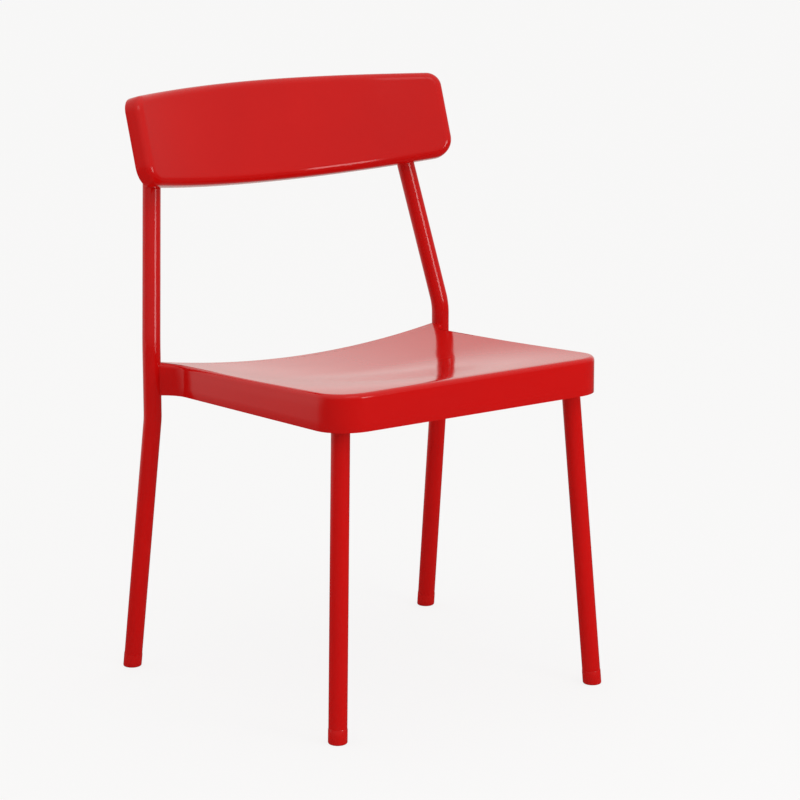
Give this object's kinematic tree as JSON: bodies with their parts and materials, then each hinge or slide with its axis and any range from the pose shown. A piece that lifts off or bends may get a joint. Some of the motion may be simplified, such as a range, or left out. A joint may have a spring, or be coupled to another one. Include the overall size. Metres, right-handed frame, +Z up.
{
  "type": "metal bistro chair",
  "caption": "Red metal bistro chair with a pressed, dished seat, splayed round tube legs and a wide curved backrest on raked rear posts.",
  "frame": {"origin": "on the floor, under the middle of the chair's bounding box", "axes": "+Z up, +X towards the sitter's left, the sitter faces -Y"},
  "size_m": [0.5424, 0.5177, 0.8081],
  "materials": {
    "red_coat": "gloss powder coat on steel",
    "glide": "moulded plastic in the colour of the coat"
  },
  "bodies": {
    "root": {"seat_pan": "red_coat", "front_rail": "red_coat", "rear_rail": "red_coat", "side_rail_left": "red_coat", "side_rail_right": "red_coat", "front_leg_left": "red_coat", "front_leg_right": "red_coat", "leg_plate_left": "red_coat", "leg_plate_right": "red_coat", "front_gusset_left": "red_coat", "front_gusset_right": "red_coat", "rear_post_left": "red_coat", "rear_post_right": "red_coat", "rear_gusset_left": "red_coat", "rear_gusset_right": "red_coat", "backrest": "red_coat", "back_saddle_left": "red_coat", "back_saddle_right": "red_coat", "post_cap_left": "glide", "post_cap_right": "glide", "front_glide_left": "glide", "front_glide_right": "glide", "rear_glide_left": "glide", "rear_glide_right": "glide"}
  },
  "joints": []
}
